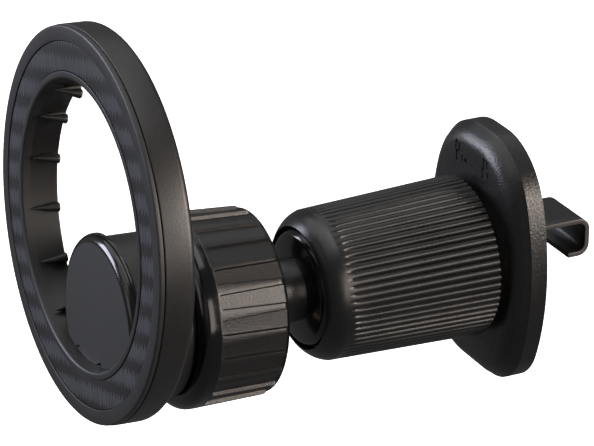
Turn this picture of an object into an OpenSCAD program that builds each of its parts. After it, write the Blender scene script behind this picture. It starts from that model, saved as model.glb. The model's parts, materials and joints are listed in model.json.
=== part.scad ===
// Car phone mount: a magnetic ring head on a clamped ball joint, carried by a
// hook clip that a ribbed knob pulls tight on a vent blade.
// Frame: origin on the vent pad's back face, on the knob's axis. +Y points away
// from the driver, into the vent, and +Z is up. The ring faces -Y.

/* [Ring head] */
// Outer radius of the magnetic ring
ring_r = 30.2; // [28:0.1:36]
// Radius of the open middle of the ring at its front
ring_hole_r = 22.1; // [20:0.1:22.3]
// Depth of the ring from its front face to its back wall
ring_depth = 5.8; // [5:0.1:7.6]
// Height of the ring's centre above the ball's axis
ring_rise = 15; // [13:0.5:16]
// Distance from the ring's front face back to the ball's centre
ring_reach = 21.5; // [20.5:0.5:26]
// Thickness of the front bezel
bezel_t = 1.4; // [1.2:0.1:2]
// Width of the housing's wall round the step of the front bezel
bezel_lip = 1.1; // [0.8:0.05:1.3]
// Width of the bezel's rim inside the grip pad
pad_rim_in = 1.1; // [0.9:0.1:2]
// Width of the bezel's rim outside the grip pad
pad_rim_out = 2.35; // [1.8:0.05:3]
// Number of fins on the ring's inner wall
fin_count = 16; // [8:1:24]
// Height of a fin at the back of the ring
fin_h = 2; // [1.4:0.1:2.4]
// Number of magnets in the ring
magnet_count = 18; // [12:1:24]

/* [Ball joint] */
// Radius of the ball
ball_r = 8.5; // [7.5:0.1:9]
// Radius of the neck behind the ball
neck_r = 5; // [4:0.1:5.2]
// Thickness of the two plastic ball seats
seat_t = 1.47; // [1.2:0.01:1.6]
// Radius of the socket's front cover
cap_r = 13.5; // [13:0.1:14.5]
// Wall of the socket barrel between the ball seats and its thread
socket_wall = 2; // [1.8:0.1:2.4]
// Width of the shoulder between the barrel's thread and its outside
socket_shoulder = 0.8; // [0.6:0.1:1.4]
// Wall of the clamp nut outside its thread
nut_wall = 3.05; // [2.6:0.05:4]
// Length of the clamp nut
nut_len = 14.7; // [13:0.1:15]
// Number of ribs round the clamp nut
nut_ribs = 24; // [12:1:30]
// Rest tilt of the head about the X axis, in degrees
head_pitch = -3; // [-10:1:10]
// Rest turn of the head about the ball's axis, in degrees
head_spin = -15; // [-30:1:30]

/* [Knob] */
// Radius of the knob at its front end
knob_front_r = 12.1; // [12:0.1:15]
// Radius of the knob at its rear end, over the ribs
knob_rear_r = 12.85; // [12.7:0.05:16]
// Length of the knob
knob_len = 29.6; // [28:0.2:40]
// Radius of the opening in the knob's front
knob_mouth_r = 9.7; // [9.6:0.1:9.8]
// Number of ribs round the knob
knob_ribs = 64; // [32:1:72]
// Distance from the knob's front plane forward to the ball's centre
neck_len = 13.3; // [13:0.1:20]

/* [Vent plate] */
// Width of the plate
plate_w = 30.8; // [28:0.2:40]
// Height of the plate's top edge above the knob's axis
plate_top = 20.9; // [20:0.1:28]
// Depth of the plate's bottom edge below the knob's axis
plate_bottom = 19.9; // [18:0.1:26]
// Thickness of the plate
plate_t = 5.2; // [4.6:0.1:7]
// Amount that the rubber pad stands out behind the plate
pad_proud = 0.6; // [0.4:0.1:1]
// Gap between the knob and the plate
knob_gap = 1.5; // [1:0.1:2.5]

/* [Hook] */
// Width of the steel hook
hook_w = 10; // [8:0.2:10.4]
// Thickness of the hook's steel strip
hook_t = 0.8; // [0.6:0.1:1]
// Distance from the pad to the outermost point of the hook
hook_reach = 13.2; // [12:0.2:20]
// Height of the hook's top face above the knob's axis
hook_top = 4.5; // [4:0.1:4.6]
// Height of the hook's curl
hook_drop = 6.4; // [5.6:0.1:9]
// Distance that the hook travels inwards when the knob is tightened
hook_pull = 7; // [4:0.5:7]
// Distance that the hook travels outwards when the knob is loosened
hook_push = 2; // [0:0.5:2]

/* [Hidden] */
$fn = 96;

run_gap = 0.05;     // running fit on a radius
seat_gap = 0.03;    // fit of the ball seats on each side
tiny = 0.01;        // thickness of a slice inside a hull
over = 1;           // how far a cut runs past the face that it opens

// Places along the knob's axis, counted from the pad's back face
plate_back_y = -pad_proud;
plate_front_y = plate_back_y - plate_t;
knob_rear_y = plate_front_y - knob_gap;
knob_front_y = knob_rear_y - knob_len;
ball_y = knob_front_y - neck_len;

// Places along the head's axis, counted from the ball's centre
face_y = -ring_reach;
ring_back_y = face_y + ring_depth;
cap_recess = 2;
cap_t = 1.8;
cap_y = face_y + cap_recess;
cap_back_y = cap_y + cap_t;
nut_back_y = 5.9;
nut_front_y = nut_back_y - nut_len;
shoulder_y = nut_front_y - 0.3;

// Ring
bezel_r = ring_r - 0.1;
bezel_step_r = ring_r - bezel_lip;
bezel_flange_t = 0.8;
hole_draft = 0.8;
back_hole_r = ring_hole_r - hole_draft;
pad_inner_r = ring_hole_r + pad_rim_in;
pad_outer_r = bezel_r - pad_rim_out;
ring_wall = 1.4;
ring_floor = 1;
pad_recess = 0.15;
pad_floor = 0.7;
pad_gap = 0.05;
rim_chamfer = 0.35;
fin_tip_r = 0.1;
fin_r = 0.85;
lip_drop = 0.9;
lip_gap = 0.05;
magnet_t = 2;
magnet_gap_deg = 1.2;
channel_in_r = back_hole_r + ring_wall;
channel_out_r = ring_r - ring_wall;
yoke_t = ring_depth - bezel_t - ring_floor - magnet_t;

// Ball seats
seat_in_r = ball_r + seat_gap;
seat_out_r = ball_r + seat_t;
cavity_r = seat_out_r + seat_gap;
clamp_thread_r = cavity_r + socket_wall;
socket_r = clamp_thread_r + socket_shoulder;
nut_r = clamp_thread_r + nut_wall;
rear_seat_from = 56;
rear_seat_to = 84;
front_seat_from = 105;
front_seat_to = 160;
seat_split = 2;
spigot_r = socket_r - 2.5;
spigot_len = 2;
pocket_r = spigot_r - 2;
pocket_floor = 1.8;
collar_end_y = -0.6;
washer_y = [0.5, 3.5];
nut_edge = 2;
nut_taper = 0.4;
nut_collar = 3;
lip_r = ball_r + 0.2;
relief_depth = 0.6;
relief_turn = 3;
nut_rib_front_w = 1.8;
nut_rib_rear_w = 1.05;

// Core tube and knob
mouth_round = 5;
flange_r = knob_mouth_r - 0.4;
flange_t = 2.5;
flange_dome = 0.5;
flange_bevel = 0.7;
stud_spigot_r = 3.5;
stud_screw_r = 1.75;
stud_head_r = 3.4;
stud_washer_r = 5;
core_r = 8;
core_bore_r = 6;
core_wall = 2;
core_sink = 1;
core_front_y = knob_front_y + flange_t;
core_flange_r = 9.6;
core_flange_t = 1.3;
sleeve_in_r = 9.2;
sleeve_out_r = 10.4;
bush_flange_t = 1.3;
bush_len = 2.2;
washer_t = 0.5;
rear_flange_y = plate_front_y - core_flange_t;
sleeve_y = [core_front_y + bush_flange_t + run_gap,
    rear_flange_y - bush_flange_t - washer_t - run_gap];
rib_h = 0.55;
rib_start = 3.7;
rib_rise = 1.2;
rib_nose = 0.15;
lip_end_r = knob_front_r - mouth_round + sqrt(pow(mouth_round, 2) - pow(mouth_round - rib_start, 2));

// Hook
shank_w = 7;
shank_wide_y = hook_pull - plate_t - pad_proud + core_sink + 0.3;
hook_bend_r = 2;
hook_tip = 1.8;
hook_slot_gap = 0.3;
carriage_len = 9;
carriage_y = plate_front_y - 7.2 - carriage_len;
wing_len = 5;
wing_h = 4.5;
wing_y = carriage_y + (carriage_len - wing_len) / 2;
core_slot_y = [wing_y - hook_pull - 1, wing_y + wing_len + hook_push + 1];
rivet_r = 0.9;
rivet_head_r = 1.6;
rivet_head_t = 0.6;
rivet_inset = 2.5;

// Plate outline: two corner arcs and a side arc on each half, all tangent
plate_side_r = 38.3;
plate_top_r = 12.1;
plate_bottom_r = 10;
plate_side_x = plate_w / 2 - plate_side_r;
plate_side_z = 0.15;
plate_wall = 2.8;
pad_inset = 3;
pad_sink = 0.4;
pad_window_gap = 1;
plate_screw_ring = 7;
plate_screw_r = 0.7;
plate_screw_head_r = 1.5;
plate_screw_head_t = 1;
plate_screw_len = 7;
plate_screw_turns = [0, 120, 240];
mark_depth = 0.25;
mark_z = 15.9;
mark_pitch = 4.1;

// ---- shared shapes ----

// Cylinder along Y from y0 to y1
module y_rod(r, y0, y1) {
    translate([0, y0, 0]) rotate([-90, 0, 0]) cylinder(r = r, h = y1 - y0);
}

// Ring along Y from y0 to y1
module y_tube(r_out, r_in, y0, y1) {
    difference() {
        y_rod(r_out, y0, y1);
        y_rod(r_in, y0 - over, y1 + over);
    }
}

// Solid turned about Y from [radius, y] points or a 2D child
module y_turn() {
    rotate([-90, 0, 0]) rotate_extrude() children();
}

// Flat shape in X and Z, extruded along Y from y0 to y1
module y_slab(y0, y1) {
    translate([0, y1, 0]) rotate([90, 0, 0]) linear_extrude(y1 - y0) children();
}

// Places its children on the ball's centre with the head's rest tilt
module on_ball(spin = head_spin) {
    translate([0, ball_y, 0]) rotate([head_pitch, 0, 0]) rotate([0, spin, 0]) children();
}

// Places its children on the ring's own axis
module on_ring() {
    translate([0, 0, ring_rise]) children();
}

// Points of an arc about a centre, leaving out the first few when skip is set
function arc(c, r, a0, a1, steps = 12, skip = 0) =
    [for (i = [skip:steps]) let (a = a0 + (a1 - a0) * i / steps) [c[0] + r * cos(a), c[1] + r * sin(a)]];

// Places of the plate's corner circles, which touch the side arc from inside
function corner_x(r, z) =
    plate_side_x + sqrt(pow(plate_side_r - r, 2) - pow(z - plate_side_z, 2));

// Outline of the plate, grown or shrunk evenly
function plate_outline(grow = 0) =
    let (
        zt = plate_top - plate_top_r,
        zb = plate_bottom_r - plate_bottom,
        xt = corner_x(plate_top_r, zt),
        xb = corner_x(plate_bottom_r, zb),
        at = atan2(zt - plate_side_z, xt - plate_side_x),
        ab = atan2(zb - plate_side_z, xb - plate_side_x),
        half = concat(
            arc([xt, zt], plate_top_r + grow, 90, at),
            arc([plate_side_x, plate_side_z], plate_side_r + grow, at, ab, skip = 1),
            arc([xb, zb], plate_bottom_r + grow, ab, -90, skip = 1)))
    concat(half, [for (i = [len(half) - 1:-1:0]) [-half[i][0], half[i][1]]]);

// ---- ring head ----

// The ring's open middle, which narrows towards the back; grow makes it wider
module ring_hole(grow = 0) {
    slope = hole_draft / ring_depth;
    translate([0, face_y - over, 0]) rotate([-90, 0, 0])
        cylinder(
            r1 = ring_hole_r + slope * over + grow,
            r2 = back_hole_r - slope * over + grow,
            h = ring_depth + 2 * over);
}

// Fins on the ring's inner wall: a low cone in the wall and a leaning one on it
module ring_fins(gap = 0) {
    front = face_y + bezel_t + tiny;
    len = ring_depth - bezel_t - 2 * tiny;
    lean = atan2(fin_h - fin_r, len);
    for (i = [0:fin_count - 1]) rotate([0, i * 360 / fin_count, 0]) intersection() {
        translate([0, front, back_hole_r]) union() {
            rotate([-90, 0, 0])
                cylinder(r1 = fin_tip_r + gap, r2 = fin_r - 0.1 + gap, h = len);
            rotate([lean - 90, 0, 0])
                cylinder(r1 = fin_tip_r + gap, r2 = fin_r + gap, h = len / cos(lean) + over);
        }
        translate([-2, front, back_hole_r - 4]) cube([4, len, 6]);
    }
}

// Rear half of the ring with the socket barrel and its thread, one moulding
module head_housing() {
    color("#2b2b2d") on_ball() difference() {
        union() {
            on_ring() {
                difference() {
                    y_rod(ring_r, face_y + lip_drop, ring_back_y);
                    ring_hole();
                    y_rod(bezel_step_r + lip_gap, face_y, face_y + bezel_t);
                }
                ring_fins();
            }
            y_rod(socket_r, cap_back_y, shoulder_y);
            y_rod(clamp_thread_r - run_gap, shoulder_y - tiny, collar_end_y);
        }
        on_ring() y_tube(channel_out_r, channel_in_r, face_y + bezel_t - over, ring_back_y - ring_floor);
        sphere(r = cavity_r);
        intersection() {
            y_rod(spigot_r, cap_back_y - over, cap_back_y + spigot_len);
            on_ring() y_rod(back_hole_r - ring_wall, cap_back_y - over, 0);
        }
        intersection() {
            y_rod(pocket_r, cap_back_y, -cavity_r - pocket_floor);
            on_ring() y_rod(back_hole_r - ring_wall, cap_back_y - over, 0);
        }
    }
}

// Front face of the ring, with the recess for the grip pad
module front_bezel() {
    color("#353538") on_ball() on_ring() translate([0, face_y, 0]) y_turn()
        polygon([
            [ring_hole_r - hole_draft * bezel_t / ring_depth, bezel_t],
            [ring_hole_r, rim_chamfer],
            [ring_hole_r + rim_chamfer, 0],
            [pad_inner_r, 0],
            [pad_inner_r, pad_floor],
            [pad_outer_r, pad_floor],
            [pad_outer_r, 0],
            [bezel_r - rim_chamfer, 0],
            [bezel_r, rim_chamfer],
            [bezel_r, bezel_flange_t],
            [bezel_step_r, bezel_flange_t],
            [bezel_step_r, bezel_t]]);
}

// Grip pad let into the bezel
module grip_pad() {
    color("#26262a") on_ball() on_ring()
        y_tube(pad_outer_r - pad_gap, pad_inner_r + pad_gap, face_y + pad_recess, face_y + pad_floor);
}

// Arc magnets in the ring's channel, poles to the front
module ring_magnets() {
    pitch = 360 / magnet_count;
    color("silver") on_ball() on_ring()
        for (i = [0:magnet_count - 1])
            rotate([-90, i * pitch, 0]) translate([0, 0, face_y + bezel_t])
                rotate_extrude(angle = pitch - magnet_gap_deg)
                    translate([channel_in_r + 0.1, 0])
                        square([channel_out_r - channel_in_r - 0.2, magnet_t]);
}

// Steel ring behind the magnets that closes their field at the back
module yoke_ring() {
    y0 = face_y + bezel_t + magnet_t;
    color("gray") on_ball() on_ring()
        y_tube(channel_out_r - 0.1, channel_in_r + 0.1, y0, y0 + yoke_t);
}

// Front cover of the socket barrel, trimmed where the ring's wall passes it
module socket_cap() {
    round_r = 1.5;
    color("#3a3a3d") on_ball() difference() {
        union() {
            intersection() {
                translate([0, cap_y, 0]) y_turn() {
                    square([cap_r - round_r, cap_t]);
                    translate([0, round_r]) square([cap_r, cap_t - round_r]);
                    intersection() {
                        translate([cap_r - round_r, round_r]) circle(r = round_r);
                        square([cap_r, cap_t]);
                    }
                }
                on_ring() ring_hole(-run_gap);
            }
            intersection() {
                y_rod(spigot_r - run_gap, cap_back_y - tiny, cap_back_y + spigot_len - 0.2);
                on_ring() y_rod(back_hole_r - ring_wall - run_gap, cap_back_y - over, 0);
            }
        }
        on_ring() ring_fins(0.1);
    }
}

// ---- ball joint ----

// Zone of a spherical shell between two angles from the +Y axis
module ball_zone(from, to) {
    reach = seat_out_r * 2;
    y_turn() intersection() {
        difference() {
            circle(r = seat_out_r);
            circle(r = seat_in_r);
        }
        polygon([[0, 0],
            [reach * sin(from), reach * cos(from)],
            [reach * 2, reach * (cos(from) + cos(to)) / 2],
            [reach * sin(to), reach * cos(to)]]);
    }
}

// Front seat that the ball turns on
module front_seat() {
    color("ivory") on_ball(0) ball_zone(front_seat_from, front_seat_to);
}

// Rear seat, split so that it can open over the ball
module rear_seat() {
    color("ivory") translate([0, ball_y, 0]) difference() {
        ball_zone(rear_seat_from, rear_seat_to);
        translate([-seat_split / 2, -seat_out_r, -seat_out_r - over])
            cube([seat_split, 2 * seat_out_r, seat_out_r]);
    }
}

// Washer with a spherical seat that carries the nut's push to the rear seat
module clamp_washer() {
    color("dimgray") on_ball() difference() {
        y_rod(clamp_thread_r - 0.5, washer_y[0], washer_y[1]);
        sphere(r = cavity_r);
    }
}

// Ribbed nut that screws on the socket barrel and clamps the ball
module clamp_nut() {
    bore_end = washer_y[1] + run_gap;
    floor_r = nut_r - relief_depth;
    edge = nut_edge / 2;
    color("#1f1f21") on_ball() {
        translate([0, nut_front_y, 0]) y_turn()
            polygon(concat(
                [[clamp_thread_r, 0]],
                arc([nut_r - nut_edge, nut_edge], nut_edge, -90, 0),
                [[nut_r, nut_collar],
                [floor_r, nut_collar + 0.2],
                [floor_r - nut_taper, nut_len - edge],
                [floor_r - nut_taper - edge, nut_len],
                [lip_r, nut_len],
                [sqrt(pow(cavity_r, 2) - pow(bore_end, 2)) + 0.1, bore_end - nut_front_y],
                [clamp_thread_r, bore_end - nut_front_y]]));
        intersection() {
            for (i = [0:nut_ribs - 1])
                rotate([0, relief_turn + (i + 0.5) * 360 / nut_ribs, 0]) nut_rib();
            translate([0, nut_front_y, 0]) y_turn()
                polygon([
                    [clamp_thread_r + 1, nut_collar - 0.5],
                    [nut_r - 0.02, nut_collar - 0.5],
                    [nut_r - nut_taper, nut_len - 1],
                    [floor_r - nut_taper, nut_len - 0.4],
                    [floor_r - nut_taper - 0.4, nut_len - 0.4],
                    [clamp_thread_r + 1, nut_len - 1]]);
        }
    }
}

// Blank of one rib of the nut, narrower to the rear
module nut_rib() {
    translate([0, nut_front_y, clamp_thread_r + 1.2])
        linear_extrude(nut_wall)
            polygon([
                [-nut_rib_front_w / 2, nut_collar - over],
                [nut_rib_front_w / 2, nut_collar - over],
                [nut_rib_rear_w / 2, nut_len - 0.8],
                [nut_rib_rear_w / 4, nut_len],
                [-nut_rib_rear_w / 4, nut_len],
                [-nut_rib_rear_w / 2, nut_len - 0.8]]);
}

// Ball and neck in one piece, with a spigot that plugs into the core tube
module ball_stud() {
    color("#1c1c1e") difference() {
        union() {
            translate([0, ball_y, 0]) sphere(r = ball_r);
            y_rod(neck_r, ball_y, knob_front_y);
            y_rod(stud_spigot_r, knob_front_y - tiny, core_front_y + core_wall);
        }
        y_rod(stud_screw_r, ball_y + 4, core_front_y + core_wall + over);
    }
}

// Domed disc round the neck that closes the knob's mouth
module stud_flange() {
    color("#242427") translate([0, knob_front_y, 0]) y_turn()
        polygon([
            [stud_spigot_r, 0],
            [neck_r + 0.3, 0],
            [(neck_r + flange_r) / 2, flange_dome / 3],
            [flange_r - flange_bevel, flange_dome],
            [flange_r, flange_dome + flange_bevel],
            [flange_r, flange_t],
            [stud_spigot_r, flange_t]]);
}

// Screw that pulls the stud down on the core tube from inside
module stud_screw() {
    seat_y = core_front_y + core_wall + washer_t;
    color("silver") difference() {
        union() {
            y_rod(stud_head_r, seat_y, seat_y + 2);
            y_rod(stud_screw_r, ball_y + 6, seat_y + tiny);
        }
        translate([0, seat_y + 3, 0]) rotate([90, 0, 0]) cylinder(r = 1.5, h = 2.2, $fn = 6);
    }
}

// Washer under the stud screw's head
module stud_washer() {
    y0 = core_front_y + core_wall;
    color("silver") y_tube(stud_washer_r, stud_screw_r + 0.1, y0, y0 + washer_t);
}

// ---- knob drive ----

// Fixed tube that guides the hook's carriage and carries the knob
module core_tube() {
    color("#303033") difference() {
        union() {
            y_rod(core_r, core_front_y, plate_front_y + core_sink);
            y_rod(core_flange_r, rear_flange_y, plate_front_y);
        }
        y_rod(core_bore_r, core_front_y + core_wall, 0);
        y_rod(stud_spigot_r, core_front_y - over, core_front_y + core_wall + over);
        translate([-core_flange_r, core_slot_y[0], -wing_h / 2 - run_gap])
            cube([2 * core_flange_r, core_slot_y[1] - core_slot_y[0], wing_h + 2 * run_gap]);
        plate_screw_places() y_rod(plate_screw_r, -plate_screw_len - over, 0);
    }
}

// Flanged bush between the core tube and the thread sleeve
module front_bush() {
    y0 = core_front_y;
    color("ivory") difference() {
        union() {
            y_rod(core_flange_r, y0, y0 + bush_flange_t);
            y_rod(sleeve_in_r - run_gap, y0, y0 + bush_flange_t + bush_len);
        }
        y_rod(core_r, y0 - over, y0 + bush_flange_t + bush_len + over);
    }
}

// Flanged bush at the plate's end of the core tube
module rear_bush() {
    y1 = rear_flange_y;
    color("ivory") difference() {
        union() {
            y_rod(core_flange_r, y1 - bush_flange_t, y1);
            y_rod(sleeve_in_r - run_gap, y1 - bush_flange_t - bush_len, y1);
        }
        y_rod(core_r, y1 - bush_flange_t - bush_len - over, y1 + over);
    }
}

// Slip washer that takes the hook's pull behind the thread sleeve
module thrust_washer() {
    y1 = rear_flange_y - bush_flange_t;
    color("silver") y_tube(core_flange_r, sleeve_in_r - run_gap + 0.02, y1 - washer_t, y1);
}

// Ribbed sleeve that the driver turns
module knob_shell() {
    body_front_r = lip_end_r - 0.25;
    body_rear_r = knob_rear_r - rib_h;
    pitch = 360 / knob_ribs;
    mouth_angle = acos((knob_mouth_r - knob_front_r + mouth_round) / mouth_round);
    lip_angle = acos((lip_end_r - knob_front_r + mouth_round) / mouth_round);
    color("#2a2a2c") difference() {
        union() {
            translate([0, knob_front_y, 0]) y_turn()
                polygon(concat(
                    [[knob_mouth_r, knob_len]],
                    arc([knob_front_r - mouth_round, mouth_round], mouth_round, -mouth_angle, -lip_angle),
                    [[body_front_r, rib_start + rib_rise],
                    [body_rear_r, knob_len]]));
            for (i = [0:knob_ribs - 1])
                rotate([0, i * pitch, 0])
                    translate([0, knob_front_y, 0]) knob_rib(body_rear_r);
        }
        y_rod(sleeve_out_r, core_front_y, knob_rear_y + over);
    }
}

// One rib: a long crowned ridge that rises out of the knob's rounded front
module knob_rib(base_r) {
    half_w = PI * base_r / knob_ribs * 0.85;
    sink = 0.4;
    rise = atan2(knob_rear_r - lip_end_r, knob_len - rib_start);
    intersection() {
        translate([0, rib_start, lip_end_r]) rotate([rise, 0, 0])
            rotate([-90, 0, 0]) translate([0, 0, -over])
                linear_extrude(knob_len) rotate(180)
                    polygon([
                        [-half_w, -sink - rib_h],
                        [half_w, -sink - rib_h],
                        [half_w * 0.6, -0.12],
                        [0, 0],
                        [-half_w * 0.6, -0.12]]);
        translate([-half_w, rib_start + rib_nose, 0])
            cube([2 * half_w, knob_len - rib_start - rib_nose, knob_rear_r + over]);
    }
}

// Threaded sleeve pressed into the knob, which drives the carriage's wings
module thread_sleeve() {
    color("goldenrod") y_tube(sleeve_out_r, sleeve_in_r, sleeve_y[0], sleeve_y[1]);
}

// ---- hook ----

// Slider inside the core tube; its wings reach the thread through the slots
module hook_carriage() {
    flat_z = hook_top - hook_t;
    color("#3c3c40") difference() {
        union() {
            y_rod(core_bore_r - run_gap, carriage_y, carriage_y + carriage_len);
            intersection() {
                y_rod(sleeve_in_r - run_gap, wing_y, wing_y + wing_len);
                translate([-sleeve_in_r, wing_y, -wing_h / 2]) cube([2 * sleeve_in_r, wing_len, wing_h]);
            }
        }
        translate([-core_r, carriage_y - over, flat_z]) cube([2 * core_r, carriage_len + 2 * over, core_r]);
        hook_rivet_places() translate([0, 0, -2]) cylinder(r = rivet_r, h = 2 + over);
    }
}

// Bent steel strip: shank, top, curl and tip
module hook_strip() {
    bend_y = hook_reach - hook_bend_r;
    bend_in_r = hook_bend_r - hook_t;
    low_z = hook_top - hook_drop;
    color("#37373a") difference() {
        union() {
            translate([-shank_w / 2, carriage_y + 0.5, hook_top - hook_t])
                cube([shank_w, shank_wide_y - carriage_y - 0.5 + tiny, hook_t]);
            translate([-hook_w / 2, 0, 0]) rotate([90, 0, 90]) linear_extrude(hook_w) {
                translate([shank_wide_y, hook_top - hook_t]) square([bend_y - shank_wide_y, hook_t]);
                hook_bend([bend_y, hook_top - hook_bend_r], bend_in_r, 1);
                translate([hook_reach - hook_t, low_z + hook_bend_r])
                    square([hook_t, hook_drop - 2 * hook_bend_r]);
                hook_bend([bend_y, low_z + hook_bend_r], bend_in_r, -1);
                translate([bend_y - hook_tip, low_z]) square([hook_tip, hook_t]);
            }
        }
        hook_rivet_places() translate([0, 0, -over]) cylinder(r = rivet_r, h = hook_t + 2 * over);
    }
}

// Quarter bend of the strip, above (side 1) or below (side -1) its centre
module hook_bend(c, r_in, side) {
    translate(c) intersection() {
        difference() {
            circle(r = r_in + hook_t);
            circle(r = r_in);
        }
        translate([0, side > 0 ? 0 : -hook_bend_r]) square(hook_bend_r);
    }
}

// Places of the rivets, on the carriage's flat
module hook_rivet_places() {
    for (y = [carriage_y + rivet_inset, carriage_y + carriage_len - rivet_inset])
        translate([0, y, hook_top - hook_t]) children();
}

// Rivets that hold the strip on the carriage
module hook_rivets() {
    color("silver") hook_rivet_places() {
        translate([0, 0, -2]) cylinder(r = rivet_r, h = 2 + hook_t + tiny);
        translate([0, 0, hook_t]) cylinder(r = rivet_head_r, h = rivet_head_t);
    }
}

// ---- vent plate ----

// Places of the screws between the plate and the core tube
module plate_screw_places() {
    for (a = plate_screw_turns) rotate([0, a, 0]) translate([0, 0, plate_screw_ring]) children();
}

// Solid plate with a bevelled front, as rings of the outline joined by flats
module plate_blank() {
    steps = [[0, 0], [plate_wall, 0], [plate_t - 1.2, -0.9], [plate_t - 0.4, -1.9], [plate_t, -3.1]];
    n = len(plate_outline());
    points = [for (s = steps) for (p = plate_outline(s[1])) [p[0], plate_back_y - s[0], p[1]]];
    sides = [for (k = [0:len(steps) - 2]) for (i = [0:n - 1])
        [k * n + i, k * n + (i + 1) % n, (k + 1) * n + (i + 1) % n, (k + 1) * n + i]];
    back = [for (i = [n - 1:-1:0]) i];
    front = [for (i = [0:n - 1]) (len(steps) - 1) * n + i];
    polyhedron(points, concat(sides, [back, front]));
}

// Plate that bears on the vent
module vent_plate() {
    color("#2e2e31") difference() {
        plate_blank();
        y_slab(plate_back_y - pad_sink, plate_back_y + over) polygon(plate_outline(-pad_inset));
        y_rod(core_r, plate_front_y - over, plate_front_y + core_sink);
        translate([-hook_w / 2 - hook_slot_gap, plate_front_y - over, hook_top - hook_t - hook_slot_gap])
            cube([hook_w + 2 * hook_slot_gap, plate_t + 2 * over, hook_t + 2 * hook_slot_gap]);
        plate_screw_places() {
            y_rod(plate_screw_r, plate_front_y - over, plate_back_y + over);
            y_rod(plate_screw_head_r, plate_back_y - pad_sink - plate_screw_head_t, plate_back_y + over);
        }
        translate([0, 0, mark_z]) y_slab(plate_front_y - over, plate_front_y + mark_depth) lock_marks();
    }
}

// Padlock open, an arrow to it, and padlock shut
module lock_marks() {
    for (side = [-1, 1]) translate([side * mark_pitch, 0]) {
        difference() {
            translate([-1.05, -1.7]) square([2.1, 1.7]);
            translate([-0.75, -1.4]) square([1.5, 1.1]);
        }
        translate([side < 0 ? -0.6 : 0, -0.05]) difference() {
            translate([-0.7, 0]) square([1.4, 1.65]);
            translate([-0.4, -0.2]) square([0.8, 1.55]);
        }
    }
    translate([-1.8, -1]) square([3.8, 0.24]);
    translate([-1.8, -0.88]) polygon([[0, 0.5], [-0.8, 0], [0, -0.5]]);
}

// Rubber pad that grips the vent blade
module vent_pad() {
    gap = pad_window_gap;
    color("#1a1a1a") difference() {
        y_slab(plate_back_y - pad_sink, 0) polygon(plate_outline(-pad_inset - run_gap));
        translate([-hook_w / 2 - gap, -over - pad_proud - pad_sink, hook_top - hook_t - gap])
            cube([hook_w + 2 * gap, 4 * over, hook_t + 2 * gap]);
    }
}

// Screws that fix the plate on the core tube
module plate_screws() {
    head_y = plate_back_y - pad_sink - plate_screw_head_t;
    color("silver") plate_screw_places() difference() {
        union() {
            y_rod(plate_screw_head_r - run_gap, head_y, head_y + plate_screw_head_t);
            y_rod(plate_screw_r, -plate_screw_len, head_y + tiny);
        }
        for (a = [0, 90]) rotate([0, a, 0])
            translate([-1, head_y + 0.5, -0.2]) cube([2, over, 0.4]);
    }
}

head_housing();
front_bezel();
grip_pad();
ring_magnets();
yoke_ring();
socket_cap();
front_seat();
rear_seat();
clamp_washer();
clamp_nut();
ball_stud();
stud_flange();
stud_screw();
stud_washer();
core_tube();
front_bush();
rear_bush();
thrust_washer();
knob_shell();
thread_sleeve();
hook_carriage();
hook_strip();
hook_rivets();
vent_plate();
vent_pad();
plate_screws();
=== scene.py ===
import json
import math

import bmesh
import bpy
from mathutils import Matrix, Vector


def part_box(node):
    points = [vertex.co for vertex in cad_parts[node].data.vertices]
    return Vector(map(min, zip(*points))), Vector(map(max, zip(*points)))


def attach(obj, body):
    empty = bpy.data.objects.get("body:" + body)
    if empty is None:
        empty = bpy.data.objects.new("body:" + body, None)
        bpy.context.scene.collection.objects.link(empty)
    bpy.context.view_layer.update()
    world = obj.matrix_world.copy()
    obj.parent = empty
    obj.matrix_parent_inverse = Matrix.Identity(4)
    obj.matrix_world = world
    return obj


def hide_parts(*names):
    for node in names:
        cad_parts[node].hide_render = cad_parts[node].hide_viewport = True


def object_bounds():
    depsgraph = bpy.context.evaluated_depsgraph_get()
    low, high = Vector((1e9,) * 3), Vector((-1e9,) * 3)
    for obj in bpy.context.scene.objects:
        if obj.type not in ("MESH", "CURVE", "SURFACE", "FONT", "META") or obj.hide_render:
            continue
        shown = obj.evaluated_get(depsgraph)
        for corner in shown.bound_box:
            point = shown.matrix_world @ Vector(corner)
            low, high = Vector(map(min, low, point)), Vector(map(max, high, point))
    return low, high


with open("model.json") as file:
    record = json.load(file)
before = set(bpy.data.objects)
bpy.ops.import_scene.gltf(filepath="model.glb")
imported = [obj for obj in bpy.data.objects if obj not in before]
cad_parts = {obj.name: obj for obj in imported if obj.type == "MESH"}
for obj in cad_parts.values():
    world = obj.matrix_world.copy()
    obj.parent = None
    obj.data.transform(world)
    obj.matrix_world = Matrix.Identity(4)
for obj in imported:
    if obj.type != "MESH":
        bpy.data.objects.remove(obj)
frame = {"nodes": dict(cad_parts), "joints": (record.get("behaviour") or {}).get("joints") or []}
cad_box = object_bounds()

# Every shape below is drawn in millimetres and scaled once, when its piece is finished.
MM = 0.001
FULL_TURN = 2 * math.pi
ROW = Matrix.Identity(4)
Z_TO_Y = Matrix.Rotation(math.radians(-90), 3, "X")


# ---------------------------------------------------------------- the frame's own places

def head_place():
    """The head's resting place: Y along its axis, Z from the ball towards the ring."""
    joint = next(j for j in frame["joints"] if j["name"] == "ball_twist")
    ball = Vector(joint["pos_m"])
    axis = Vector(joint["axis"]).normalized()
    low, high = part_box("front_bezel")
    rise = (low + high) / 2 - ball
    up = (rise - axis * rise.dot(axis)).normalized()
    place = Matrix((axis.cross(up), axis, up)).transposed().to_4x4()
    place.translation = ball
    return place


HEAD = head_place()
BALL_Y = HEAD.translation.y / MM
KNOB_FRONT_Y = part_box("stud_flange")[0].y / MM
KNOB_REAR_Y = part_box("knob_shell")[1].y / MM
PLATE_FRONT_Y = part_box("vent_plate")[0].y / MM
PLATE_BACK_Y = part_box("vent_plate")[1].y / MM
HOOK_LOW, HOOK_HIGH = (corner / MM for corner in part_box("hook_strip"))

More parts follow.
